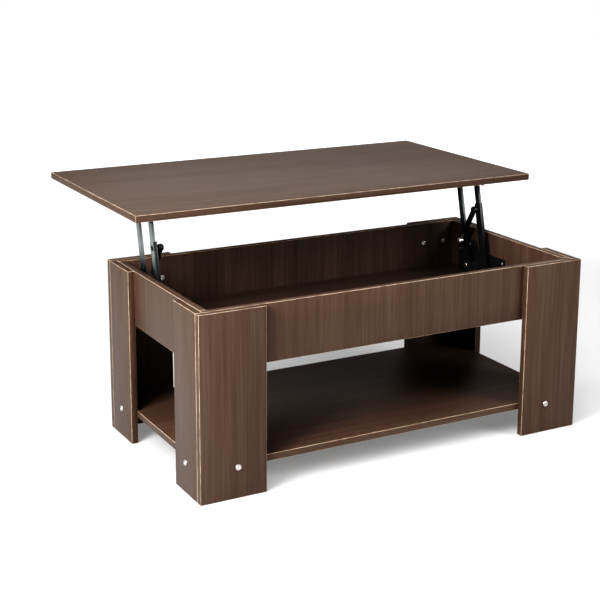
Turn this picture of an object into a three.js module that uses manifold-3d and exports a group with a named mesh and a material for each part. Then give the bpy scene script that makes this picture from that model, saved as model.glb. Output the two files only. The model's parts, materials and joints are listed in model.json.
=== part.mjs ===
// Lift-top coffee table, with its top raised. Millimetres, +Z up, +Y towards the side where one sits:
// the top rises and travels to +Y on two parallelogram linkages inside the storage box.
import * as THREE from 'three';
import { mergeVertices } from 'three/addons/utils/BufferGeometryUtils.js';
import Module from 'manifold-3d';

const wasm = await Module();
wasm.setup();

// Driving dimensions
const board = 15;
const gap = 0.3;
const base = { length: 940, depth: 490, height: 395 };
const top = { length: 1000, depth: 536, raisedHeight: 547, seatGap: 0.5 };
const leg = { faceWidth: 148, sideWidth: 108 };
const apronHeight = 124;
const shelfTop = 74.4;

// Linkage: heights above the floor, places along Y from the middle of the base
const linkage = {
  leanDeg: 13.5, pivotSpacing: 74, frontPivotY: 48, basePivotZ: 303, railPivotDrop: 12,
  upperStrutPin: 152, lowerStrutPin: 61,
};
const arm = { halfWidth: 8, web: 2, flange: 6, outer: 12, flangeInset: 12.8 };
const sleeve = { start: 48, end: 166, halfWidth: 10.3, wall: 2 };
const bracket = {
  wall: 2.5, front: -8, rear: 180, topFront: 341, topRear: 364, step: 100, nose: 15, cheekTop: 314,
};
const cheek = { inner: 22, front: 22, rear: 150 };
const rail = { wall: 2.5, outer: 6.5, flangeEnd: 34, drop: 24, overrun: 20, flange: 2 };
const strut = {
  centre: 30, tubeRadius: 6.5, neckRadius: 3.8, boreRadius: 5, tubeLength: 78, rodRadius: 2.75, rodLength: 92,
};
const eye = { radius: 8, holeRadius: 3.8, halfWidth: 4 };
const stop = { along: 40, radius: 6, end: 18 };

// Fasteners
const bolt = {
  headRadius: 6.5, headHeight: 3.4, rim: 0.8, shankRadius: 3, socketRadius: 2.6, socketDepth: 2,
};
const legBolt = { fromEnd: 83.3, fromSide: 69.7, height: shelfTop - board / 2, shank: 45 };
const apronBolt = { fromEnd: [57, 117], height: 345, shank: 25 };
const pin = { radius: 4, collar: 7, head: 6.5, upperHead: 5.5, domeHeight: 1, domeInset: 1 };
const strutPin = { radius: 3.5, collar: 5.5, outerReach: 1.5 };
const round = 16;

// Worked out from the above
const halfLength = base.length / 2;
const halfDepth = base.depth / 2;
const innerLength = halfLength - board - gap;
const innerDepth = halfDepth - board - gap;
const wallX = innerLength - board;
const boxBottom = base.height - apronHeight;
const boxFloor = boxBottom + board;
const undersideZ = top.raisedHeight - board;
const railPivotZ = undersideZ - linkage.railPivotDrop;
const rise = undersideZ - base.height - top.seatGap;
const lean = THREE.MathUtils.degToRad(linkage.leanDeg);
const armAngle = Math.PI / 2 - lean;
const armLength = (railPivotZ - linkage.basePivotZ) / Math.cos(lean);
const closedRise = Math.asin((railPivotZ - rise - linkage.basePivotZ) / armLength);
const travel = armLength * (Math.sin(lean) + Math.cos(closedRise));
const rearPivotY = linkage.frontPivotY + linkage.pivotSpacing;
const originY = (travel + top.depth / 2 - halfDepth) / 2;

const materials = {
  laminate: new THREE.MeshStandardMaterial({ color: 0x4b332a, roughness: 0.55, metalness: 0 }),
  blackSteel: new THREE.MeshStandardMaterial({ color: 0x17181a, roughness: 0.45, metalness: 0.3 }),
  nickel: new THREE.MeshStandardMaterial({ color: 0xc9c6c0, roughness: 0.28, metalness: 1 }),
  rubber: new THREE.MeshStandardMaterial({ color: 0x101010, roughness: 0.85, metalness: 0 }),
};

const table = new THREE.Group();
table.position.set(0, -originY, 0);

function addMesh(name, geometry, material, position = [0, 0, 0], turnX = 0) {
  const mesh = new THREE.Mesh(geometry, materials[material]);
  mesh.name = name;
  mesh.position.set(...position);
  mesh.rotation.x = turnX;
  table.add(mesh);
}

function solidOf(geometry) {
  const bare = geometry.clone();
  bare.deleteAttribute('normal');
  bare.deleteAttribute('uv');
  const merged = mergeVertices(bare, 1e-4);
  return new wasm.Manifold(new wasm.Mesh({
    numProp: 3,
    vertProperties: new Float32Array(merged.attributes.position.array),
    triVerts: new Uint32Array(merged.index.array),
  }));
}

function geometryOf(solid) {
  const mesh = solid.getMesh();
  const indexed = new THREE.BufferGeometry();
  indexed.setAttribute('position', new THREE.BufferAttribute(new Float32Array(mesh.vertProperties), 3));
  indexed.setIndex(new THREE.BufferAttribute(new Uint32Array(mesh.triVerts), 1));
  const flat = indexed.toNonIndexed();
  flat.computeVertexNormals();
  return flat;
}

function union(solids) {
  return solids.reduce((whole, solid) => whole.add(solid));
}

function without(solid, cuts) {
  return cuts.reduce((rest, cut) => rest.subtract(cut), solid);
}

function boxSolid(low, high) {
  const size = high.map((value, i) => value - low[i]);
  const geometry = new THREE.BoxGeometry(...size);
  geometry.translate(...high.map((value, i) => (value + low[i]) / 2));
  return solidOf(geometry);
}

// A cylinder from one point to another along X or Y.
function cylinderSolid(radius, from, to) {
  const start = new THREE.Vector3(...from);
  const end = new THREE.Vector3(...to);
  const direction = end.clone().sub(start);
  const geometry = new THREE.CylinderGeometry(radius, radius, direction.length(), round);
  const turn = new THREE.Quaternion().setFromUnitVectors(new THREE.Vector3(0, 1, 0), direction.normalize());
  geometry.applyQuaternion(turn);
  geometry.translate(...start.add(end).multiplyScalar(0.5).toArray());
  return solidOf(geometry);
}

// A turned solid: steps are [radius, height] pairs up the axis, which is pointed along direction.
function turnedGeometry(steps, direction) {
  const profile = [[0, steps[0][1]], ...steps, [0, steps.at(-1)[1]]];
  const geometry = new THREE.LatheGeometry(profile.map(([r, h]) => new THREE.Vector2(r, h)), round);
  const turn = new THREE.Quaternion().setFromUnitVectors(
    new THREE.Vector3(0, 1, 0), new THREE.Vector3(...direction));
  geometry.applyQuaternion(turn);
  return geometryOf(solidOf(geometry));
}

// Boards

function addBoard(name, low, high, drills = []) {
  const solid = without(boxSolid(low, high), drills);
  addMesh(name, geometryOf(solid), 'laminate');
}

function boltDrill(from, direction, depth) {
  const to = from.map((value, i) => value + direction[i] * depth);
  return cylinderSolid(bolt.shankRadius + gap, from, to);
}

const corners = [
  { name: 'front_left', x: -1, y: -1 },
  { name: 'front_right', x: 1, y: -1 },
  { name: 'rear_left', x: -1, y: 1 },
  { name: 'rear_right', x: 1, y: 1 },
];
const ends = [{ name: 'left', x: -1 }, { name: 'right', x: 1 }];
const fronts = [{ name: 'front', y: -1 }, { name: 'rear', y: 1 }];

// Where each bolt goes in, which way, and how far its hole runs.
function faceBolt(corner) {
  const from = [corner.x * (halfLength - legBolt.fromEnd), corner.y * halfDepth, legBolt.height];
  return { from, direction: [0, -corner.y, 0] };
}

function sideBolt(corner) {
  const from = [corner.x * halfLength, corner.y * (halfDepth - legBolt.fromSide), legBolt.height];
  return { from, direction: [-corner.x, 0, 0] };
}

function apronBolts(corner) {
  return apronBolt.fromEnd.map((fromEnd) => ({
    from: [corner.x * (halfLength - fromEnd), corner.y * (innerDepth - board), apronBolt.height],
    direction: [0, corner.y, 0],
  }));
}

function drillOf({ from, direction }, depth) {
  return boltDrill(from, direction, depth + gap);
}

function spanOf(sign, near, far) {
  return sign > 0 ? [near, far] : [-far, -near];
}

function addLegs() {
  for (const corner of corners) {
    const faceX = spanOf(corner.x, halfLength - leg.faceWidth, halfLength);
    const faceY = spanOf(corner.y, halfDepth - board, halfDepth);
    const faceDrills = [drillOf(faceBolt(corner), legBolt.shank)];
    faceDrills.push(...apronBolts(corner).map((one) => drillOf(one, apronBolt.shank)));
    addBoard(`leg_${corner.name}_face`,
      [faceX[0], faceY[0], 0], [faceX[1], faceY[1], base.height], faceDrills);
    const sideX = spanOf(corner.x, halfLength - board, halfLength);
    const sideY = spanOf(corner.y, innerDepth - leg.sideWidth, innerDepth);
    addBoard(`leg_${corner.name}_side`,
      [sideX[0], sideY[0], 0], [sideX[1], sideY[1], base.height], [drillOf(sideBolt(corner), legBolt.shank)]);
  }
}

function addBox() {
  for (const { name, y } of fronts) {
    const span = spanOf(y, innerDepth - board, innerDepth);
    const drills = corners.filter((corner) => corner.y === y).flatMap((corner) => apronBolts(corner));
    addBoard(`apron_${name}`, [-innerLength, span[0], boxBottom], [innerLength, span[1], base.height],
      drills.map((one) => drillOf(one, apronBolt.shank)));
  }
  const endDepth = innerDepth - board - gap;
  for (const { name, x } of ends) {
    const span = spanOf(x, wallX, innerLength);
    addBoard(`apron_${name}`, [span[0], -endDepth, boxBottom], [span[1], endDepth, base.height]);
  }
  const floorX = wallX - gap;
  addBoard('compartment_floor', [-floorX, -endDepth, boxBottom], [floorX, endDepth, boxFloor]);
}

function addShelf() {
  const bolts = corners.flatMap((corner) => [faceBolt(corner), sideBolt(corner)]);
  addBoard('lower_shelf', [-innerLength, -innerDepth, shelfTop - board],
    [innerLength, innerDepth, shelfTop], bolts.map((one) => drillOf(one, legBolt.shank)));
}

function addTop() {
  addBoard('table_top', [-top.length / 2, travel - top.depth / 2, undersideZ],
    [top.length / 2, travel + top.depth / 2, top.raisedHeight]);
}

function addBolt(name, { from, direction }, shank) {
  const head = gap + bolt.headHeight;
  const steps = [
    [bolt.shankRadius, -shank],
    [bolt.shankRadius, gap],
    [bolt.headRadius, gap],
    [bolt.headRadius, head - 2 * bolt.rim],
    [bolt.headRadius - bolt.rim, head],
    [bolt.socketRadius, head],
    [bolt.socketRadius, head - bolt.socketDepth],
  ];
  const outward = direction.map((value) => -value);
  addMesh(name, turnedGeometry(steps, outward), 'nickel', from);
}

function addBolts() {
  for (const corner of corners) {
    addBolt(`shelf_bolt_${corner.name}_face`, faceBolt(corner), legBolt.shank);
    addBolt(`shelf_bolt_${corner.name}_side`, sideBolt(corner), legBolt.shank);
    apronBolts(corner).forEach((one, i) => {
      addBolt(`apron_bolt_${corner.name}_${i + 1}`, one, apronBolt.shank);
    });
  }
}

// Lift linkage. Each piece of it is placed by its distance in from the end apron's inner face.

function linkageSide(end) {
  const toX = (inward) => end.x * (wallX - inward);

  // A flat shape in Y and Z, between two distances in from the wall.
  function slab(shape, near, far) {
    const geometry = new THREE.ExtrudeGeometry(shape, { depth: far - near, bevelEnabled: false, curveSegments: 8 });
    const toYZ = new THREE.Matrix4().makeBasis(
      new THREE.Vector3(0, 1, 0), new THREE.Vector3(0, 0, 1), new THREE.Vector3(1, 0, 0));
    geometry.applyMatrix4(toYZ);
    geometry.translate(Math.min(toX(near), toX(far)), 0, 0);
    return solidOf(geometry);
  }

  function block(near, far, y, z) {
    const xs = [toX(near), toX(far)].sort((a, b) => a - b);
    return boxSolid([xs[0], y[0], z[0]], [xs[1], y[1], z[1]]);
  }

  function drill(radius, near, far, y, z) {
    return cylinderSolid(radius, [toX(near), y, z], [toX(far), y, z]);
  }

  function addPin(name, steps, y, z, material = 'nickel') {
    addMesh(`${name}_${end.name}`, turnedGeometry(steps, [-end.x, 0, 0]), material, [end.x * wallX, y, z]);
  }

  return { toX, slab, block, drill, addPin };
}

function polygon(points) {
  return new THREE.Shape(points.map(([u, v]) => new THREE.Vector2(u, v)));
}

function roundEnded(length, halfWidth) {
  const shape = new THREE.Shape();
  shape.moveTo(0, -halfWidth);
  shape.lineTo(length, -halfWidth);
  shape.absarc(length, 0, halfWidth, -Math.PI / 2, Math.PI / 2, false);
  shape.lineTo(0, halfWidth);
  shape.absarc(0, 0, halfWidth, Math.PI / 2, Math.PI * 1.5, false);
  return shape;
}

// A wall plate, a floor flange and a low inner cheek, which hold the lower pivots from both sides.
function addBaseBracket(end, side) {
  const foot = boxFloor + gap;
  const plate = side.slab(polygon([
    [bracket.front, bracket.topFront], [bracket.front, bracket.topFront - bracket.nose],
    [bracket.front + 2 * bracket.nose, foot], [bracket.rear, foot], [bracket.rear, bracket.topRear],
    [bracket.step + bracket.nose / 2, bracket.topRear], [bracket.step, bracket.topFront],
  ].reverse()), gap, gap + bracket.wall);
  const floor = side.block(gap, cheek.inner, [cheek.front, cheek.rear], [foot, foot + bracket.wall]);
  const inner = side.block(cheek.inner - bracket.wall, cheek.inner,
    [cheek.front, cheek.rear], [foot, bracket.cheekTop]);
  const hole = (y) => side.drill(pin.radius + gap, 0, cheek.inner + 1, y, linkage.basePivotZ);
  const stopHole = side.drill(bolt.shankRadius + gap, 0, gap + bracket.wall + 1, ...stopPlace());
  const solid = without(union([plate, floor, inner]),
    [hole(linkage.frontPivotY), hole(rearPivotY), stopHole]);
  addMesh(`base_bracket_${end.name}`, geometryOf(solid), 'blackSteel');
}

// Pressed channel with round ends. Its own Y runs from the lower pivot to the upper one.
function addArm(name, end, side, pivotY, extraHole) {
  const web = side.slab(roundEnded(armLength, arm.halfWidth), arm.outer, arm.outer + arm.web);
  const flanges = [-1, 1].map((sign) => side.block(arm.outer, arm.outer + arm.flange,
    [arm.flangeInset, armLength - arm.flangeInset],
    spanOf(sign, arm.halfWidth - arm.web, arm.halfWidth)));
  const far = arm.outer + arm.flange + 1;
  const holes = [0, armLength].map((along) => side.drill(pin.radius + gap, arm.outer - 1, far, along, 0));
  holes.push(side.drill(strutPin.radius + gap, arm.outer - 1, far, extraHole, 0));
  const solid = without(union([web, ...flanges]), holes);
  addMesh(`${name}_${end.name}`, geometryOf(solid), 'blackSteel', [0, pivotY, linkage.basePivotZ], armAngle);
}

// Stiffening channel over the inner side of the front arm, which carries the strut's upper pin.
function addArmSleeve(end, side) {
  const near = arm.outer + arm.flange + gap;
  const far = near + sleeve.wall;
  const web = side.block(near, far, [sleeve.start, sleeve.end], [-sleeve.halfWidth, sleeve.halfWidth]);
  const flanges = [-1, 1].map((sign) => side.block(arm.outer, far,
    [sleeve.start, sleeve.end], spanOf(sign, sleeve.halfWidth - sleeve.wall, sleeve.halfWidth)));
  const hole = side.drill(strutPin.radius + gap, near - 1, far + 1, linkage.upperStrutPin, 0);
  const solid = without(union([web, ...flanges]), [hole]);
  const place = [0, linkage.frontPivotY, linkage.basePivotZ];
  addMesh(`arm_sleeve_${end.name}`, geometryOf(solid), 'blackSteel', place, armAngle);
}

// An angle under the top. Its upright leg carries the upper pivots.
function addTopRail(end, side) {
  const shift = armLength * Math.sin(lean);
  const ys = [linkage.frontPivotY + shift - rail.overrun, rearPivotY + shift + rail.overrun];
  const upright = side.block(rail.outer, rail.outer + rail.wall,
    ys, [undersideZ - rail.drop, undersideZ - gap]);
  const flange = side.block(rail.outer, rail.flangeEnd, ys, [undersideZ - gap - rail.flange, undersideZ - gap]);
  const holes = [linkage.frontPivotY, rearPivotY].map((y) => side.drill(
    pin.radius + gap, rail.outer - 1, rail.outer + rail.wall + 1, y + shift, railPivotZ));
  const solid = without(union([upright, flange]), holes);
  addMesh(`top_rail_${end.name}`, geometryOf(solid), 'blackSteel');
}

function addPivotPins(side) {
  const { radius, collar, head, upperHead, domeHeight: dome, domeInset } = pin;
  const bracketEnd = bracket.wall + 2 * gap;
  const cheekEnd = cheek.inner + gap;
  const lower = [
    [radius, 2 * gap], [radius, bracketEnd], [collar, bracketEnd], [collar, arm.outer - gap],
    [radius, arm.outer - gap], [radius, cheekEnd],
    [head, cheekEnd], [head, cheekEnd + dome], [head - 1.5 * domeInset, cheekEnd + 2 * dome],
  ];
  const railEnd = rail.outer + rail.wall;
  const armEnd = arm.outer + arm.web + gap;
  const upper = [
    [head - domeInset, rail.outer - 2 * dome], [head, rail.outer - dome], [head, rail.outer - gap],
    [radius, rail.outer - gap], [radius, railEnd + gap],
    [head, railEnd + gap], [head, arm.outer - gap],
    [radius, arm.outer - gap], [radius, armEnd],
    [upperHead, armEnd], [upperHead, armEnd + dome], [upperHead - domeInset, armEnd + 2 * dome],
  ];
  const shift = armLength * Math.sin(lean);
  for (const [name, y] of [['front', linkage.frontPivotY], ['rear', rearPivotY]]) {
    side.addPin(`${name}_lower_pin`, lower, y, linkage.basePivotZ);
    side.addPin(`${name}_upper_pin`, upper, y + shift, railPivotZ);
  }
}

// A point on an arm, given its lower pivot and the distance along it.
function onArm(pivotY, along) {
  return [pivotY + along * Math.cos(armAngle), linkage.basePivotZ + along * Math.sin(armAngle)];
}

function addStrutPins(side) {
  const { radius, collar, outerReach } = strutPin;
  const { domeHeight: dome, domeInset } = pin;
  const armFar = arm.outer + arm.web + gap;
  const eyeNear = strut.centre - eye.halfWidth - gap;
  const eyeFar = strut.centre + eye.halfWidth + gap;
  const outerEnd = [
    [collar - domeInset, arm.outer - outerReach - dome], [collar, arm.outer - outerReach],
    [collar, arm.outer - gap], [radius, arm.outer - gap], [radius, armFar], [collar, armFar],
  ];
  const sleeveNear = arm.outer + arm.flange;
  const sleeveFar = sleeveNear + 2 * gap + sleeve.wall;
  const throughSleeve = [[collar, sleeveNear], [radius, sleeveNear], [radius, sleeveFar], [collar, sleeveFar]];
  const head = collar + domeInset;
  const innerEnd = [
    [collar, eyeNear], [radius, eyeNear], [radius, eyeFar],
    [head, eyeFar], [head, eyeFar + 1.5 * dome], [head - 2 * domeInset, eyeFar + 2.5 * dome],
  ];
  side.addPin('strut_upper_pin', [...outerEnd, ...throughSleeve, ...innerEnd],
    ...onArm(linkage.frontPivotY, linkage.upperStrutPin));
  side.addPin('strut_lower_pin', [...outerEnd, ...innerEnd], ...onArm(rearPivotY, linkage.lowerStrutPin));
}

// Pull strut between the two arms: the tube hangs on the front arm, and the rod on the rear arm.
function addStrut(end, side) {
  const upper = onArm(linkage.frontPivotY, linkage.upperStrutPin);
  const lower = onArm(rearPivotY, linkage.lowerStrutPin);
  const down = Math.atan2(lower[1] - upper[1], lower[0] - upper[0]);
  const x = side.toX(strut.centre);
  const near = strut.centre - eye.halfWidth;
  const far = strut.centre + eye.halfWidth;
  const hole = side.drill(eye.holeRadius, near - 1, far + 1, 0, 0);
  const along = (radius, from, to) => cylinderSolid(radius, [x, from, 0], [x, to, 0]);

  const boreStart = eye.radius + 2;
  const tube = without(union([
    side.drill(eye.radius, near, far, 0, 0),
    along(strut.neckRadius, eye.holeRadius + 1, boreStart - 1),
    along(strut.tubeRadius, eye.radius - 1, strut.tubeLength),
  ]), [hole, along(strut.boreRadius, boreStart, strut.tubeLength + 1)]);
  addMesh(`strut_tube_${end.name}`, geometryOf(tube), 'blackSteel', [0, ...upper], down);

  const rod = without(union([
    side.drill(eye.radius - 1, near, far, 0, 0),
    along(strut.rodRadius, eye.holeRadius + 1, strut.rodLength),
  ]), [hole]);
  addMesh(`strut_rod_${end.name}`, geometryOf(rod), 'nickel', [0, ...lower], down + Math.PI);
}

// The rubber-covered stop that the rear arm leans on when the top is up.
function stopPlace() {
  const [y, z] = onArm(rearPivotY, stop.along);
  const clear = arm.halfWidth + gap + stop.radius;
  return [y + clear * Math.sin(armAngle), z - clear * Math.cos(armAngle)];
}

function addArmStop(side) {
  const start = bracket.wall + 2 * gap;
  side.addPin('arm_stop', [
    [bolt.shankRadius, 2 * gap], [bolt.shankRadius, start], [stop.radius, start],
    [stop.radius, stop.end - 1], [stop.radius - 1, stop.end],
  ], ...stopPlace(), 'rubber');
}

addLegs();
addBox();
addShelf();
addTop();
addBolts();
for (const end of ends) {
  const side = linkageSide(end);
  addBaseBracket(end, side);
  addArm('front_arm', end, side, linkage.frontPivotY, linkage.upperStrutPin);
  addArm('rear_arm', end, side, rearPivotY, linkage.lowerStrutPin);
  addArmSleeve(end, side);
  addTopRail(end, side);
  addPivotPins(side);
  addStrutPins(side);
  addStrut(end, side);
  addArmStop(side);
}

export default table;
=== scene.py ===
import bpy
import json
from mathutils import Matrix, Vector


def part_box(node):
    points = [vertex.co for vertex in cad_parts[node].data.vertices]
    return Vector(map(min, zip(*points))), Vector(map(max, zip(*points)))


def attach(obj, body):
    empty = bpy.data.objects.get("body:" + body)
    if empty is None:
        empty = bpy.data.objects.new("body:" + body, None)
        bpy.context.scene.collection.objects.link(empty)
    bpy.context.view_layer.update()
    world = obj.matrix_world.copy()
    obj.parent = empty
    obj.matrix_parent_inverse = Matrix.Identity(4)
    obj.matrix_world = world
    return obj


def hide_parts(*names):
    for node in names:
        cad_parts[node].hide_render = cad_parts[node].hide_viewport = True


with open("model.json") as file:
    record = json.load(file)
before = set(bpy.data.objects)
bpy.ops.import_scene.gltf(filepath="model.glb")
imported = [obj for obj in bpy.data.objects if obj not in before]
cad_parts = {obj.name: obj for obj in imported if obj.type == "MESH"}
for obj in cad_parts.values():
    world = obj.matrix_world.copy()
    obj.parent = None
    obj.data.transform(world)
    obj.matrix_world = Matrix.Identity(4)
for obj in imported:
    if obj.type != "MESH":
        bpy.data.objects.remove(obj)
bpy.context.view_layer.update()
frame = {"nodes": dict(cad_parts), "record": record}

import json
import math

import bmesh
import bpy
from mathutils import Matrix, Vector

# Coffee table with a lifting top: walnut laminate boards, black steel lift arms, nickel fasteners.
# Metres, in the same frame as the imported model, with the top raised.

mm = 0.001
sides = {"left": -1, "right": 1}
scene = bpy.context.scene
nodes = frame["nodes"]
bodyOf = {node: body for body, owned in frame["record"]["behaviour"]["bodies"].items() for node in owned}


def boxOf(name):
    low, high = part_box(name)
    return Vector(low), Vector(high)


def centreOf(name):
    low, high = boxOf(name)
    return (low + high) / 2


wallX = boxOf("apron_right")[0].x  # inner face of the end apron, which the lift arms are set out from
halfLength = boxOf("leg_front_right_face")[1].x
baseCentre = centreOf("compartment_floor")


def paint(red, green, blue):  # 0 to 255 as a paint chart gives it, into the shader's linear colour
    def linear(value):
        value /= 255
        return value / 12.92 if value <= 0.04045 else ((value + 0.055) / 1.055) ** 2.4
    return (linear(red), linear(green), linear(blue), 1)


class Wire:  # a node's output that can be used in sums
    def __init__(self, finish, socket):
        self.finish = finish
        self.socket = socket

    def sum(self, operation, first, second):
        return self.finish.node("ShaderNodeMath", {"operation": operation}, {0: first, 1: second})

    def __add__(self, other):
        return self.sum("ADD", self, other)

    def __sub__(self, other):
        return self.sum("SUBTRACT", self, other)

    def __rsub__(self, other):
        return self.sum("SUBTRACT", other, self)

    def __mul__(self, other):
        return self.sum("MULTIPLY", self, other)

    __radd__ = __add__
    __rmul__ = __mul__


class Finish:  # one material and its nodes
    def __init__(self, name):
        self.material = bpy.data.materials.new(name)
        self.material.use_nodes = True
        self.tree = self.material.node_tree
        self.tree.nodes.clear()

    def node(self, kind, settings=None, values=None, out=0):
        made = self.tree.nodes.new(kind)
        for key, value in (settings or {}).items():
            if key == "stops":
                self.setStops(made.color_ramp, value)
            else:
                setattr(made, key, value)
        for key, value in (values or {}).items():
            if isinstance(value, Wire):
                self.tree.links.new(value.socket, made.inputs[key])
            else:
                made.inputs[key].default_value = value
        return Wire(self, made.outputs[out]) if made.outputs else None

    def setStops(self, ramp, stops):
        while len(ramp.elements) < len(stops):
            ramp.elements.new(0.5)
        for element, (place, colour) in zip(ramp.elements, stops):
            element.position = place
            element.color = colour

    def ramp(self, factor, stops):
        return self.node("ShaderNodeValToRGB", {"stops": stops}, {0: factor})

    def step(self, value, low, high):  # 0 below low, 1 above high, smooth between
        settings = {"interpolation_type": "SMOOTHSTEP"}
        return self.node("ShaderNodeMapRange", settings, {0: value, 1: low, 2: high})

    def mix(self, factor, first, second, blend="MIX"):
        settings = {"data_type": "RGBA", "blend_type": blend}
        return self.node("ShaderNodeMix", settings, {0: factor, 6: first, 7: second}, out=2)

    def stretch(self, vector, scale):
        return self.node("ShaderNodeVectorMath", {"operation": "MULTIPLY"}, {0: vector, 1: scale})

    def noise(self, vector, scale=1, detail=2, rough=0.5):
        values = {"Vector": vector, "Scale": scale, "Detail": detail, "Roughness": rough}
        return self.node("ShaderNodeTexNoise", None, values)

    def bump(self, height, strength, distance):
        values = {"Height": height, "Strength": strength, "Distance": distance}
        return self.node("ShaderNodeBump", None, values)

    def place(self):
        return self.node("ShaderNodeTexCoord", out=3)

    def shade(self, values):
        shader = self.node("ShaderNodeBsdfPrincipled", None, values)
        self.node("ShaderNodeOutputMaterial", None, {"Surface": shader})
        return self.material


laminateLook = {
    "dark": paint(73, 58, 49), "mid": paint(82, 66, 57), "light": paint(91, 76, 67),
    "drift": 14, "bands": 65, "streaks": 260, "pores": 900,  # per metre across the grain
    "sway": 0.012, "poreDark": 0.40, "fleckLight": 0.22,
    "roughness": 0.40, "smudge": 0.10, "grainDepth": 0.12 * mm,
}


def laminateFinish(look):
    finish = Finish("walnutLaminate")
    place = finish.node("ShaderNodeAttribute", {"attribute_name": "grainPlace"}, out=1)
    sway = finish.noise(finish.stretch(place, (3.5, 9, 1)), detail=1)
    swayed = finish.node("ShaderNodeVectorMath", {"operation": "MULTIPLY_ADD"},
                         {0: sway, 1: (0, look["sway"], 0), 2: place})
    drift = finish.noise(finish.stretch(swayed, (0.8, look["drift"], 1)), detail=3, rough=0.6)
    bands = finish.noise(finish.stretch(swayed, (1.6, look["bands"], 1)), detail=2)
    streaks = finish.noise(finish.stretch(swayed, (5, look["streaks"], 1)), detail=4, rough=0.65)
    pores = finish.noise(finish.stretch(swayed, (42, look["pores"], 1)), detail=2)
    tone = 0.16 * drift + 0.32 * bands + 0.52 * streaks
    base = finish.ramp(tone, [(0.36, look["dark"]), (0.50, look["mid"]), (0.64, look["light"])])
    poreMask = finish.step(pores, 0.60, 0.72)
    fleckMask = finish.step(1 - pores, 0.64, 0.74)
    pored = finish.mix(poreMask * look["poreDark"], base, look["dark"])
    coloured = finish.mix(fleckMask * look["fleckLight"], pored, look["light"])
    smudge = finish.noise(finish.stretch(place, (7, 7, 1)), detail=3)
    roughness = look["roughness"] + look["smudge"] * smudge + look["smudge"] * poreMask
    height = streaks * 0.5 - poreMask * 0.8
    return finish.shade({
        "Base Color": coloured, "Roughness": roughness, "Specular IOR Level": 0.28,
        "Normal": finish.bump(height, 0.5, look["grainDepth"]),
    })


edgeLineLook = {"pale": paint(216, 190, 164), "brown": paint(166, 136, 110), "roughness": 0.5}


def edgeLineFinish(look):  # along every rounded board edge: the pale core of the laminate where the edge strip meets the face, and a painted highlight of the light these rounded edges catch
    finish = Finish("laminateEdgeCoreAndHighlight")
    place = finish.place()
    patch = finish.noise(place, scale=55, detail=3)
    nicks = finish.noise(place, scale=420, detail=2)
    colour = finish.mix(finish.step(patch, 0.42, 0.66), look["pale"], look["brown"])
    return finish.shade({
        "Base Color": colour, "Roughness": look["roughness"],
        "Normal": finish.bump(nicks, 0.4, 0.1 * mm),
    })


blackLook = {"paint": paint(33, 35, 36), "dusty": paint(54, 56, 56), "roughness": 0.34}
# painted sheen: the arms' coat is a pale grey, far lighter than the black steel of the brackets, standing
# in for the sheen on their upper parts
armSheenAndShadeLook = {"paint": paint(126, 132, 133), "dusty": paint(144, 147, 147), "roughness": 0.36,
           "shadedBelow": 0.40, "litAbove": 0.46}  # heights at rest where the painted shade below gives way to the painted sheen above


def blackSteelFinish(name, look):
    finish = Finish(name)
    place = finish.place()
    peel = finish.noise(place, scale=1400, detail=2)
    cloud = finish.noise(place, scale=38, detail=4)
    specks = finish.step(finish.noise(place, scale=2600, detail=1), 0.66, 0.74)
    coat = finish.mix(finish.step(cloud, 0.45, 0.75) * 0.5, look["paint"], look["dusty"])
    colour = finish.mix(specks * 0.35, coat, look["dusty"])
    if "shadedBelow" in look:  # painted shade: the arms turn to the black paint below a height at rest, where they stand inside the box in its shadow
        height = finish.node("ShaderNodeSeparateXYZ", None, {0: place}, out=2)
        # painted shade, darker towards the arms' lower ends
        paintedShade = 1 - finish.step(height + 0.02 * cloud, look["shadedBelow"], look["litAbove"])
        colour = finish.mix(paintedShade, colour, blackLook["paint"])
    return finish.shade({
        "Base Color": colour, "Roughness": look["roughness"] + 0.12 * cloud, "Metallic": 0.25,
        "Normal": finish.bump(peel, 0.35, 0.06 * mm),
    })


rubbedLook = {"coat": paint(54, 56, 56), "bare": paint(122, 120, 118), "roughness": 0.36}


def rubbedEdgeFinish(look):  # rubbed corners of the coated steel
    finish = Finish("rubbedSteelEdge")
    rub = finish.noise(finish.place(), scale=260, detail=4, rough=0.7)
    bare = finish.step(rub, 0.46, 0.68)
    return finish.shade({
        "Base Color": finish.mix(bare, look["coat"], look["bare"]),
        "Roughness": look["roughness"] + 0.1 * rub, "Metallic": bare * 0.7 + 0.2,
    })


nickelLook = {"bright": paint(236, 233, 227), "dull": paint(190, 186, 180), "roughness": 0.28}


def nickelFinish(look):
    finish = Finish("nickelPlate")
    place = finish.place()
    haze = finish.noise(place, scale=130, detail=4, rough=0.6)
    swirl = finish.noise(finish.stretch(place, (1500, 300, 1500)), detail=2)
    return finish.shade({
        "Base Color": finish.mix(finish.step(haze, 0.4, 0.7) * 0.6, look["bright"], look["dull"]),
        "Roughness": look["roughness"] + 0.14 * haze, "Metallic": 1,
        "Normal": finish.bump(swirl, 0.18, 0.04 * mm),
    })


rubberLook = {"dark": paint(16, 16, 16), "light": paint(34, 33, 32), "roughness": 0.72}


def rubberFinish(look):
    finish = Finish("blackRubber")
    grit = finish.noise(finish.place(), scale=900, detail=3)
    return finish.shade({
        "Base Color": finish.mix(grit, look["dark"], look["light"]),
        "Roughness": look["roughness"] + 0.15 * grit, "Normal": finish.bump(grit, 0.4, 0.1 * mm),
    })


laminate = laminateFinish(laminateLook)
edgeLine = edgeLineFinish(edgeLineLook)
blackSteel = blackSteelFinish("blackCoatedSteel", blackLook)
armSteel = blackSteelFinish("armSteelPaintedSheenAndShade", armSheenAndShadeLook)
rubbedEdge = rubbedEdgeFinish(rubbedLook)
nickel = nickelFinish(nickelLook)
rubber = rubberFinish(rubberLook)
print("finishes made")


def newObject(name, bm, materials):
    mesh = bpy.data.meshes.new(name)
    bm.to_mesh(mesh)
    bm.free()
    piece = bpy.data.objects.new(name, mesh)
    scene.collection.objects.link(piece)
    for material in materials:
        mesh.materials.append(material)
    return piece


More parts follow.
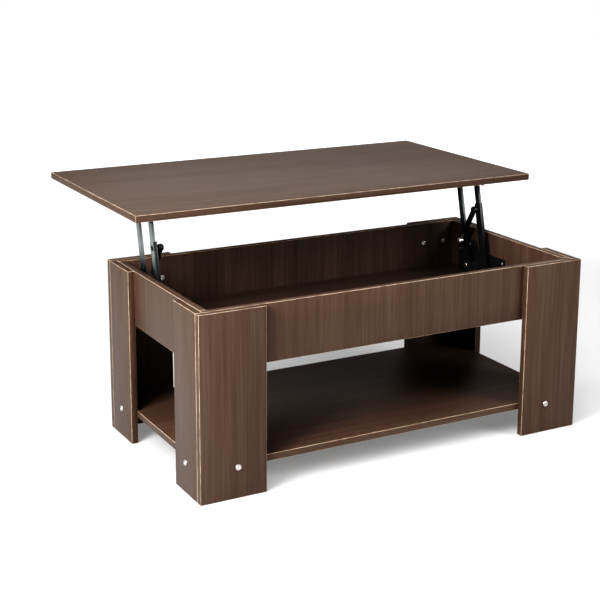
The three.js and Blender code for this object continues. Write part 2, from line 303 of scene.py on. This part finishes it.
def applied(piece):  # the piece with its modifiers worked into its mesh
    bpy.context.view_layer.update()
    graph = bpy.context.evaluated_depsgraph_get()
    mesh = bpy.data.meshes.new_from_object(piece.evaluated_get(graph))
    mesh.name = piece.name
    piece.modifiers.clear()
    piece.data = mesh
    return piece


def rounded(piece, width, angle, material=-1):  # rounds the edges that are sharper than the angle
    rounding = piece.modifiers.new("rounding", "BEVEL")
    rounding.width = width
    rounding.segments = 2
    rounding.limit_method = "ANGLE"
    rounding.angle_limit = math.radians(angle)
    rounding.material = material
    applied(piece)


def smoothed(piece, angle):
    piece.data.shade_smooth()
    piece.data.set_sharp_from_angle(angle=math.radians(angle))


def declare(piece, slot, *replaced):
    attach(piece, bodyOf[replaced[0]])
    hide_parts(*replaced)


def boxMesh(bm, low, high):
    for vert in bmesh.ops.create_cube(bm, size=1)["verts"]:
        vert.co = [low[i] if vert.co[i] < 0 else high[i] for i in range(3)]


# A closed turned shape. Rings are (radius, along), or (apothem, along, "hex") for a six-sided ring.
def turnedMesh(bm, rings, origin, direction, steps):
    turn = Vector((0, 0, 1)).rotation_difference(Vector(direction)).to_matrix().to_4x4()
    place = Matrix.Translation(origin) @ turn
    loops = []
    for radius, along, *shape in rings:
        loop = []
        for i in range(steps):
            angle = 2 * math.pi * i / steps
            reach = radius
            if shape:
                reach /= math.cos((angle + math.pi / 6) % (math.pi / 3) - math.pi / 6)
            point = Vector((reach * math.cos(angle), reach * math.sin(angle), along))
            loop.append(bm.verts.new(place @ point))
        loops.append(loop)
    for lower, upper in zip(loops, loops[1:]):
        for i in range(steps):
            j = (i + 1) % steps
            bm.faces.new((lower[i], lower[j], upper[j], upper[i]))
    bm.faces.new(reversed(loops[0]))
    bm.faces.new(loops[-1])


boardShape = {"bevel": 0.6 * mm, "holeSlack": 0.3 * mm, "drillPast": 2 * mm, "holeSteps": 24}
boardGrain = {  # board: axis that the grain runs along, thickness axis
    "table_top": (0, 2), "lower_shelf": (0, 2), "compartment_floor": (0, 2),
    "apron_front": (2, 1), "apron_rear": (2, 1), "apron_left": (2, 0), "apron_right": (2, 0),
}
for corner in ("front_left", "front_right", "rear_left", "rear_right"):
    boardGrain[f"leg_{corner}_face"] = (2, 1)
    boardGrain[f"leg_{corner}_side"] = (2, 0)


# Centre line of a bolt: its head's seat, the way its head points, and how far its shank runs.
def boltPlace(node, headRadius):
    low, high = boxOf(node)
    size = high - low
    axis = max(range(3), key=lambda i: size[i])
    centre = (low + high) / 2
    wide = []
    for vert in nodes[node].data.vertices:
        offset = vert.co - centre
        offset[axis] = 0
        if offset.length > 0.9 * headRadius:
            wide.append(vert.co[axis])
    outward = 1 if high[axis] - max(wide) < min(wide) - low[axis] else -1
    seat = centre.copy()
    seat[axis] = min(wide) if outward > 0 else max(wide)
    direction = Vector([outward if i == axis else 0 for i in range(3)])
    shank = seat[axis] - low[axis] if outward > 0 else high[axis] - seat[axis]
    return seat, direction, shank


boltShape = {
    "headRadius": 6.5 * mm, "headHeight": 3.4 * mm, "rimHeight": 0.8 * mm, "faceRadius": 4.3 * mm,
    "shankRadius": 3 * mm, "threadRoot": 2.65 * mm, "threadPitch": 1.25 * mm, "threadLength": 18 * mm,
    "plainShank": 4 * mm, "rimSoft": 0.3 * mm, "socket": 2.3 * mm, "socketDepth": 2 * mm,
    "socketSoft": 0.5 * mm, "domeSteps": 7, "steps": 48,
}
boltNodes = sorted(name for name in nodes if "_bolt_" in name)
bolts = {name: boltPlace(name, boltShape["headRadius"]) for name in boltNodes}


def touches(board, bolt):
    low, high = boxOf(board)
    boltLow, boltHigh = boxOf(bolt)
    return all(boltLow[i] < high[i] and boltHigh[i] > low[i] for i in range(3))


def drillBoard(piece, holes, shape):
    bm = bmesh.new()
    for seat, direction, shank in holes:
        radius = boltShape["shankRadius"] + shape["holeSlack"]
        reach = shank + shape["holeSlack"]
        rings = [(radius, -reach), (radius, shape["drillPast"])]
        turnedMesh(bm, rings, seat, direction, shape["holeSteps"])
    cutter = newObject("drill", bm, [laminate])
    drill = piece.modifiers.new("drill", "BOOLEAN")
    drill.operation = "DIFFERENCE"
    drill.solver = "EXACT"
    drill.object = cutter
    applied(piece)
    bpy.data.objects.remove(cutter)


# Lays the grain: along the board's grain on its broad faces, and along the strip on its narrow edges.
def layGrain(mesh, size, grainAxis, flatAxis, seed):
    places = [0.0] * (3 * len(mesh.loops))
    for face in mesh.polygons:
        facing = max(range(3), key=lambda i: abs(face.normal[i]))
        others = [i for i in range(3) if i != facing]
        along = grainAxis if facing == flatAxis else max(others, key=lambda i: size[i])
        across = others[0] if others[1] == along else others[1]
        for loop in face.loop_indices:
            point = mesh.vertices[mesh.loops[loop].vertex_index].co
            places[3 * loop:3 * loop + 3] = (point[along], point[across], seed + 0.4 * facing)
    grain = mesh.attributes.new("grainPlace", "FLOAT_VECTOR", "CORNER")
    grain.data.foreach_set("vector", places)


def makeBoard(node, seed):
    low, high = boxOf(node)
    grainAxis, flatAxis = boardGrain[node]
    bm = bmesh.new()
    boxMesh(bm, low, high)
    bmesh.ops.bevel(bm, geom=bm.edges[:], offset=boardShape["bevel"], segments=2, profile=0.5,
                    affect="EDGES")
    for face in bm.faces:
        # the rounded edges take the pale edge colour, which is partly a painted highlight
        face.material_index = 0 if max(abs(part) for part in face.normal) > 0.999 else 1
    piece = newObject(f"board_{node}", bm, [laminate, edgeLine])
    holes = [bolts[name] for name in boltNodes if touches(node, name)]
    if holes:
        drillBoard(piece, holes, boardShape)
    layGrain(piece.data, high - low, grainAxis, flatAxis, seed)
    smoothed(piece, 50)
    declare(piece, "laminate", node)


for order, node in enumerate(boardGrain):
    makeBoard(node, 1.7 * order)
print("boards made:", len(boardGrain))


def makeBolt(node, shape):
    seat, direction, shank = bolts[node]
    head = shape["headHeight"]
    rings = [(0.6 * shape["threadRoot"], -shank)]
    thread = min(shape["threadLength"], shank - shape["plainShank"])
    turns = int(thread / shape["threadPitch"])
    for i in range(turns):
        along = -shank + (i + 0.5) * shape["threadPitch"]
        rings.append((shape["threadRoot"], along))
        rings.append((shape["shankRadius"], along + shape["threadPitch"] / 2))
    soft = shape["rimSoft"]
    rings += [(shape["shankRadius"], 0), (shape["headRadius"] - soft, 0), (shape["headRadius"], soft)]
    for i in range(shape["domeSteps"] + 1):
        angle = math.pi / 2 * i / shape["domeSteps"]
        radius = shape["faceRadius"] + (shape["headRadius"] - shape["faceRadius"]) * math.cos(angle)
        along = shape["rimHeight"] + (head - shape["rimHeight"]) * math.sin(angle)
        rings.append((radius, along))
    socket = shape["socket"]
    soft = shape["socketSoft"]
    bottom = head - shape["socketDepth"]
    rings += [(socket + soft, head), (socket, head - 0.8 * soft, "hex"), (socket, bottom, "hex"),
              (0.4 * socket, bottom - soft)]
    bm = bmesh.new()
    turnedMesh(bm, rings, seat, direction, shape["steps"])
    piece = newObject(f"bolt_{node}", bm, [nickel])
    smoothed(piece, 40)
    declare(piece, "bright_steel", node)


for node in boltNodes:
    makeBolt(node, boltShape)
print("bolts made:", len(boltNodes))


# Turned pins of the lift arms, as radius and distance in from the end apron's face, in millimetres.
pinShapes = {
    "front_lower_pin": [
        (4, 0.6), (4, 3.1), (7, 3.1), (7, 11.7), (4, 11.7), (4, 22.3), (6.5, 22.3), (6.5, 23.1),
        (6, 23.8), (4.6, 24.3),
    ],
    "front_upper_pin": [
        (4.5, 4.5), (6, 4.9), (6.5, 5.6), (6.5, 6.2), (4, 6.2), (4, 9.3), (6.5, 9.3), (6.5, 11.7),
        (4, 11.7), (4, 14.3), (5.5, 14.3), (5.5, 15.2), (5.1, 15.9), (4, 16.3),
    ],
    "strut_upper_pin": [
        (4, 9.5), (5.1, 9.9), (5.5, 10.6), (5.5, 11.7), (3.5, 11.7), (3.5, 14.3), (5.5, 14.3),
        (5.5, 18), (3.5, 18), (3.5, 20.6), (5.5, 20.6), (5.5, 25.7), (3.5, 25.7), (3.5, 34.3),
        (6.5, 34.3), (6.5, 35.4), (6, 36.2), (4.2, 36.8),
    ],
    "strut_lower_pin": [
        (4, 9.5), (5.1, 9.9), (5.5, 10.6), (5.5, 11.7), (3.5, 11.7), (3.5, 14.3), (5.5, 14.3),
        (5.5, 25.7), (3.5, 25.7), (3.5, 34.3), (6.5, 34.3), (6.5, 35.4), (6, 36.2), (4.2, 36.8),
    ],
    "arm_stop": [
        (3, 0.6), (3, 3.1), (6, 3.1), (6, 7), (5.5, 7.6), (5.5, 8.4), (6, 9), (6, 13), (5.5, 13.6),
        (5.5, 14.4), (6, 15), (6, 16.6), (5.6, 17.5), (4.6, 18),
    ],
}
pinShapes["rear_lower_pin"] = pinShapes["front_lower_pin"]
pinShapes["rear_upper_pin"] = pinShapes["front_upper_pin"]
pinFinishes = {"arm_stop": ("rubber", rubber), "strut_upper_pin": ("black_steel", blackSteel)}
pinLook = {"steps": 40, "rounding": 0.15 * mm, "headFrom": 34 * mm}  # the plated head's distance inward


def makePin(kind, side, sign):
    node = f"{kind}_{side}"
    centre = centreOf(node)
    origin = Vector((sign * wallX, centre.y, centre.z))
    rings = [(radius * mm, inward * mm) for radius, inward in pinShapes[kind]]
    bm = bmesh.new()
    turnedMesh(bm, rings, origin, (-sign, 0, 0), pinLook["steps"])
    slot, finish = pinFinishes.get(kind, ("bright_steel", nickel))
    for face in bm.faces:  # only the head of the strut's lower pin is plated
        inward = abs(face.calc_center_median().x - origin.x)
        face.material_index = int(kind == "strut_lower_pin" and inward < pinLook["headFrom"])
    piece = newObject(f"pin_{node}", bm, [finish, blackSteel])
    rounded(piece, pinLook["rounding"], 60)
    smoothed(piece, 40)
    declare(piece, slot, node)


for side, sign in sides.items():
    for kind in pinShapes:
        makePin(kind, side, sign)
print("pins made")


plateShape = {"rounding": 0.5 * mm, "weld": 0.001 * mm}
plateFinishes = {"base_bracket": blackSteel, "top_rail": blackSteel, "front_arm": armSteel,
                 "rear_arm": armSteel, "arm_sleeve": blackSteel}


def makePlate(kind, side):
    node = f"{kind}_{side}"
    bm = bmesh.new()
    bm.from_mesh(nodes[node].data)
    bmesh.ops.remove_doubles(bm, verts=bm.verts[:], dist=plateShape["weld"])
    bmesh.ops.dissolve_limit(bm, angle_limit=math.radians(1), verts=bm.verts[:], edges=bm.edges[:])
    piece = newObject(f"steel_{node}", bm, [plateFinishes[kind], rubbedEdge])
    rounded(piece, plateShape["rounding"], 50, 1)
    smoothed(piece, 40)
    declare(piece, "black_steel", node)


for side in sides:
    for kind in plateFinishes:
        makePlate(kind, side)
print("steel plates made")


strutShape = {  # millimetres
    "centre": 30, "eyeRadius": 8, "rodEyeRadius": 7, "eyeHole": 3.8, "eyeHalf": 4, "neck": 3.8,
    "tubeRadius": 6.5, "bore": 5, "tubeEnd": 78, "rodRadius": 2.75, "rodEnd": 92, "eyeSoft": 0.6,
    "steps": 48,
}


def eyeMesh(bm, radius, centre, shape):  # a ring that turns on the strut's pin
    half = shape["eyeHalf"] * mm
    hole = shape["eyeHole"] * mm
    soft = shape["eyeSoft"] * mm
    profile = [(hole, -half + soft), (hole + soft, -half), (radius - soft, -half), (radius, -half + soft),
               (radius, half - soft), (radius - soft, half), (hole + soft, half), (hole, half - soft)]
    count = shape["steps"]
    loops = []
    for i in range(count):
        angle = 2 * math.pi * i / count
        loops.append([bm.verts.new(centre + Vector((x, r * math.cos(angle), r * math.sin(angle))))
                      for r, x in profile])
    made = []
    for i in range(count):
        first, second = loops[i], loops[(i + 1) % count]
        for k in range(len(profile)):
            m = (k + 1) % len(profile)
            made.append(bm.faces.new((first[k], first[m], second[m], second[k])))
    bmesh.ops.recalc_face_normals(bm, faces=made)


def makeStrut(side, sign, shape):
    x = sign * (wallX - shape["centre"] * mm)
    upper = centreOf(f"strut_upper_pin_{side}")
    lower = centreOf(f"strut_lower_pin_{side}")
    upper.x = lower.x = x
    down = (lower - upper).normalized()
    tube = bmesh.new()
    eyeMesh(tube, shape["eyeRadius"] * mm, upper, shape)
    outer = shape["tubeRadius"]
    inner = shape["bore"]
    end = shape["tubeEnd"]
    rings = [(shape["neck"], shape["eyeHole"] + 1), (shape["neck"], 8.4), (outer - 1.4, 9),
             (outer - 0.4, 9.8), (outer, 10.8), (outer, end - 7), (outer - 0.45, end - 6.4),
             (outer - 0.45, end - 5.2), (outer, end - 4.6), (outer, end - 0.8), (outer - 0.4, end - 0.2),
             (outer - 0.8, end), (inner + 0.3, end), (inner, end - 0.5), (inner, 13), (inner - 1, 12)]
    turnedMesh(tube, [(r * mm, along * mm) for r, along in rings], upper, down, shape["steps"])
    piece = newObject(f"strut-tube_{side}", tube, [blackSteel])
    smoothed(piece, 40)
    declare(piece, "black_steel", f"strut_tube_{side}")

    rod = bmesh.new()
    eyeMesh(rod, shape["rodEyeRadius"] * mm, lower, shape)
    radius = shape["rodRadius"]
    end = shape["rodEnd"]
    rings = [(radius, shape["eyeHole"] + 1), (radius, end - 0.8), (radius - 0.8, end)]
    turnedMesh(rod, [(r * mm, along * mm) for r, along in rings], lower, -down, shape["steps"])
    piece = newObject(f"strut-rod_{side}", rod, [nickel])
    smoothed(piece, 40)
    declare(piece, "bright_steel", f"strut_rod_{side}")


for side, sign in sides.items():
    makeStrut(side, sign, strutShape)
print("struts made")


# Small pan-head screws, set on points by Geometry Nodes. The names are those of the tree's inputs.
screwShape = {
    "Head radius": 3.6 * mm, "Head height": 1.7 * mm, "Slot width": 0.9 * mm, "Slot depth": 0.9 * mm,
}
screwSeats = {  # millimetres, on the bracket back and up from its lower front corner
    "bracket": [(8, 45), (141, 66), (152, 20), (180, 15), (180, 47), (180, 70)],
    "plateFace": 2.8,  # from the end apron's face
    "rail": [0.08, 0.36, 0.64, 0.92],  # parts of the rail's length
    "railInward": 26, "railFlange": 2,
}


def screwTree(shape, material):
    tree = bpy.data.node_groups.new("panHeadScrews", "GeometryNodeTree")
    tree.interface.new_socket("Geometry", in_out="INPUT", socket_type="NodeSocketGeometry")
    for name, value in shape.items():
        made = tree.interface.new_socket(name, in_out="INPUT", socket_type="NodeSocketFloat")
        made.default_value = value
    tree.interface.new_socket("Geometry", in_out="OUTPUT", socket_type="NodeSocketGeometry")

    def add(kind, settings=None, values=None):
        made = tree.nodes.new(kind)
        for key, value in (settings or {}).items():
            setattr(made, key, value)
        for key, value in (values or {}).items():
            if isinstance(value, bpy.types.NodeSocket):
                tree.links.new(value, made.inputs[key])
            else:
                made.inputs[key].default_value = value
        return made

    def calc(operation, first, second):
        return add("ShaderNodeMath", {"operation": operation}, {0: first, 1: second}).outputs[0]

    given = add("NodeGroupInput").outputs
    head = add("GeometryNodeMeshCylinder", {"fill_type": "NGON"}, {
        "Vertices": 28, "Side Segments": 6, "Radius": given["Head radius"], "Depth": given["Head height"]})
    at = add("ShaderNodeSeparateXYZ", None, {0: add("GeometryNodeInputPosition").outputs[0]})
    rise = calc("ADD", calc("DIVIDE", at.outputs[2], given["Head height"]), 0.5)
    crown = calc("SQRT", calc("SUBTRACT", 1, calc("POWER", calc("MULTIPLY", rise, 0.8), 2)), 0)
    lifted = add("ShaderNodeCombineXYZ", None, {
        0: calc("MULTIPLY", at.outputs[0], crown), 1: calc("MULTIPLY", at.outputs[1], crown),
        2: calc("MULTIPLY", rise, given["Head height"])})
    domed = add("GeometryNodeSetPosition", None, {
        "Geometry": head.outputs["Mesh"], "Position": lifted.outputs[0]})
    slotLength = calc("MULTIPLY", given["Head radius"], 1.15)
    slotTall = calc("MULTIPLY", given["Slot depth"], 2)
    bars = []
    for turned in (False, True):
        widths = [slotLength, given["Slot width"]]
        size = add("ShaderNodeCombineXYZ", None, {
            0: widths[turned], 1: widths[not turned], 2: slotTall})
        bar = add("GeometryNodeMeshCube", None, {"Size": size.outputs[0]})
        raised = add("ShaderNodeCombineXYZ", None, {2: given["Head height"]})
        bars.append(add("GeometryNodeTransform", None, {
            "Geometry": bar.outputs["Mesh"], "Translation": raised.outputs[0]}).outputs[0])
    cut = add("GeometryNodeMeshBoolean", {"operation": "DIFFERENCE", "solver": "EXACT"},
              {"Mesh 1": domed.outputs[0]})
    for bar in bars:
        tree.links.new(bar, cut.inputs["Mesh 2"])
    facing = add("GeometryNodeInputNamedAttribute", {"data_type": "FLOAT_VECTOR"}, {"Name": "facing"})
    aimed = add("FunctionNodeAlignRotationToVector", {"axis": "Z"}, {"Vector": facing.outputs["Attribute"]})
    spin = add("FunctionNodeRandomValue", {"data_type": "FLOAT"}, {2: 0.0, 3: math.pi, "Seed": 7})
    spun = add("FunctionNodeAxisAngleToRotation", None, {"Axis": (0, 0, 1), "Angle": spin.outputs[1]})
    turned = add("FunctionNodeRotateRotation", {"rotation_space": "LOCAL"}, {
        "Rotation": aimed.outputs[0], "Rotate By": spun.outputs[0]})
    points = add("GeometryNodeMeshToPoints", None, {"Mesh": given["Geometry"]})
    placed = add("GeometryNodeInstanceOnPoints", None, {
        "Points": points.outputs[0], "Instance": cut.outputs["Mesh"], "Rotation": turned.outputs[0]})
    whole = add("GeometryNodeRealizeInstances", None, {"Geometry": placed.outputs[0]})
    painted = add("GeometryNodeSetMaterial", None, {"Geometry": whole.outputs[0], "Material": material})
    add("NodeGroupOutput", None, {"Geometry": painted.outputs[0]})
    return tree


def makeScrews(name, body, places, tree, shape):
    mesh = bpy.data.meshes.new(name)
    mesh.from_pydata([place for place, _ in places], [], [])
    facing = mesh.attributes.new("facing", "FLOAT_VECTOR", "POINT")
    facing.data.foreach_set("vector", [part for _, way in places for part in way])
    piece = bpy.data.objects.new(name, mesh)
    scene.collection.objects.link(piece)
    setter = piece.modifiers.new("screws", "NODES")
    setter.node_group = tree
    for item in tree.interface.items_tree:
        if item.in_out == "INPUT" and item.name in shape:
            setter[item.identifier] = shape[item.name]
    applied(piece)
    smoothed(piece, 35)
    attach(piece, body)
    print(name, len(piece.data.polygons), "faces")


def screwPlaces(seats):
    onBase, onTop = [], []
    for side, sign in sides.items():
        corner = boxOf(f"base_bracket_{side}")[0]
        plateX = sign * (wallX - seats["plateFace"] * mm)
        for y, z in seats["bracket"]:
            onBase.append(((plateX, corner.y + y * mm, corner.z + z * mm), (-sign, 0, 0)))
        low, high = boxOf(f"top_rail_{side}")
        railX = sign * (wallX - seats["railInward"] * mm)
        underside = high.z - seats["railFlange"] * mm
        for part in seats["rail"]:
            onTop.append(((railX, low.y + part * (high.y - low.y), underside), (0, 0, -1)))
    return onBase, onTop


capShape = {  # millimetres
    "fromEnd": 60, "height": 363, "radius": 6.2, "thickness": 1.4, "rimFrom": 4.4, "plug": 2, "steps": 40,
}


def makeCaps(shape):  # plastic caps over the fittings' holes, above the apron bolts
    bm = bmesh.new()
    radius = shape["radius"]
    thick = shape["thickness"]
    rings = [(radius - 0.8, -shape["plug"]), (radius - 0.8, 0.1), (radius, 0.1), (radius, thick - 0.6),
             (radius - 0.6, thick), (radius - 1.6, thick), (radius - 2.2, thick - 0.7), (0.8, thick - 0.6)]
    rings = [(r * mm, along * mm) for r, along in rings]
    for apron, facing in (("apron_front", 1), ("apron_rear", -1)):
        low, high = boxOf(apron)
        wall = high.y if facing > 0 else low.y
        for sign in sides.values():
            seat = Vector((sign * (halfLength - shape["fromEnd"] * mm), wall, shape["height"] * mm))
            turnedMesh(bm, rings, seat, (0, facing, 0), shape["steps"])
    for face in bm.faces:  # a pale rim around the cap's dished middle
        centre = face.calc_center_median()
        across = halfLength - shape["fromEnd"] * mm - abs(centre.x)
        reach = math.hypot(across, centre.z - shape["height"] * mm)
        face.material_index = int(reach > shape["rimFrom"] * mm)
    piece = newObject("hole_caps", bm, [rubber, rubbedEdge])
    smoothed(piece, 40)
    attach(piece, bodyOf["apron_rear"])


makeCaps(capShape)

screws = screwTree(screwShape, nickel)
onBase, onTop = screwPlaces(screwSeats)
makeScrews("bracket_screws", bodyOf["base_bracket_left"], onBase, screws, screwShape)
makeScrews("rail_screws", bodyOf["top_rail_left"], onTop, screws, screwShape)


stageLook = {
    "size": 14, "floor": paint(205, 205, 205), "floorPatch": paint(212, 212, 212),
    "glow": 0.9, "glowNear": (0.27, 0.27, 0.27, 1), "glowFar": (1, 1, 1, 1), "glowFrom": 1.3, "glowTo": 3.2,
    "backdrop": 1.0, "sky": 0.08,
}


def makeStage(look):
    bm = bmesh.new()
    bmesh.ops.create_grid(bm, x_segments=1, y_segments=1, size=look["size"] / 2)
    finish = Finish("paleFloor")
    place = finish.place()
    soft = finish.noise(place, scale=3)
    reach = finish.node("ShaderNodeVectorMath", {"operation": "LENGTH"}, {0: place}, out=1)
    far = finish.step(reach, look["glowFrom"], look["glowTo"])  # the floor fades into the white backdrop
    colour = finish.mix(soft, look["floor"], look["floorPatch"])
    glow = finish.mix(far, look["glowNear"], look["glowFar"])
    seen = finish.node("ShaderNodeLightPath")  # only the camera sees the floor's own glow
    floor = newObject("floor", bm, [finish.shade({
        "Base Color": colour, "Roughness": 0.9, "Specular IOR Level": 0.1,
        "Emission Color": finish.mix(seen, (0, 0, 0, 1), glow),
        "Emission Strength": look["glow"]})])
    world = bpy.data.worlds.new("studio")
    scene.world = world
    world.use_nodes = True
    tree = world.node_tree
    tree.nodes.clear()
    seen = tree.nodes.new("ShaderNodeLightPath")
    shades = [tree.nodes.new("ShaderNodeBackground") for _ in range(2)]
    # the room's light, then the white backdrop that only the camera sees
    for shade, strength in zip(shades, (look["sky"], look["backdrop"])):
        shade.inputs["Color"].default_value = (1, 1, 1, 1)
        shade.inputs["Strength"].default_value = strength
    blend = tree.nodes.new("ShaderNodeMixShader")
    out = tree.nodes.new("ShaderNodeOutputWorld")
    tree.links.new(seen.outputs["Is Camera Ray"], blend.inputs[0])
    tree.links.new(shades[0].outputs[0], blend.inputs[1])
    tree.links.new(shades[1].outputs[0], blend.inputs[2])
    tree.links.new(blend.outputs[0], out.inputs["Surface"])


softboxes = {  # place, size, power
    "overhead": ((-0.3, 0.3, 3.0), 2.4, 38),
    "leftWall": ((-2.1, -1.0, 1.4), 1.0, 80),
    "front": ((2.2, -3.0, 2.2), 1.6, 92),
    "behind": ((1.7, 3.0, 2.8), 3.6, 30),
    "rear": ((-2.2, 2.8, 1.6), 1.4, 20),
}
window = {"from": (-0.48, -0.44, 0.76), "distance": 4, "spread": 34, "power": 1.5}  # broad soft daylight


def addLamp(name, light, place, aim):
    lamp = bpy.data.objects.new(name, light)
    lamp.location = place
    lamp.rotation_euler = (Vector(aim) - Vector(place)).to_track_quat("-Z", "Y").to_euler()
    scene.collection.objects.link(lamp)


def makeLights(target):
    for name, (place, size, power) in softboxes.items():
        light = bpy.data.lights.new(name, "AREA")
        light.size = size
        light.energy = power
        addLamp(name, light, place, target)
    sun = bpy.data.lights.new("window", "SUN")
    sun.angle = math.radians(window["spread"])
    sun.energy = window["power"]
    addLamp("window", sun, target + window["distance"] * Vector(window["from"]), target)


cameraSet = {  # metres, degrees and millimetres
    "place": (-1.504, -2.695, 1.159), "turn": 28.55, "tilt": 13.24, "roll": 0.24,
    "lens": 82.1, "sensor": 36, "shift": (0, -0.117), "nearest": 0.05,
}


def makeCamera(values):
    data = bpy.data.cameras.new("camera")
    data.lens = values["lens"]
    data.sensor_width = values["sensor"]
    data.shift_x, data.shift_y = values["shift"]
    data.clip_start = values["nearest"]
    camera = bpy.data.objects.new("camera", data)
    aim = (Matrix.Rotation(math.radians(-values["turn"]), 4, "Z")
           @ Matrix.Rotation(math.radians(90 - values["tilt"]), 4, "X")
           @ Matrix.Rotation(math.radians(values["roll"]), 4, "Z"))
    camera.matrix_world = Matrix.Translation(values["place"]) @ aim
    scene.collection.objects.link(camera)
    scene.camera = camera


viewTone = {
    "gamma": 0.87,
    "curve": [(0.02, 0.006), (0.035, 0.014), (0.07, 0.041), (0.11, 0.088), (0.17, 0.165), (0.3, 0.3)],
}


def setTone(values):  # a curve with a soft toe deepens the shadows
    view = scene.view_settings
    view.view_transform = "Standard"
    view.gamma = values["gamma"]
    view.use_curve_mapping = True
    combined = view.curve_mapping.curves[3]
    for low, high in values["curve"]:
        combined.points.new(low, high)
    view.curve_mapping.update()


makeStage(stageLook)
makeLights(baseCentre)
makeCamera(cameraSet)
setTone(viewTone)
print("stage, lights and camera set")
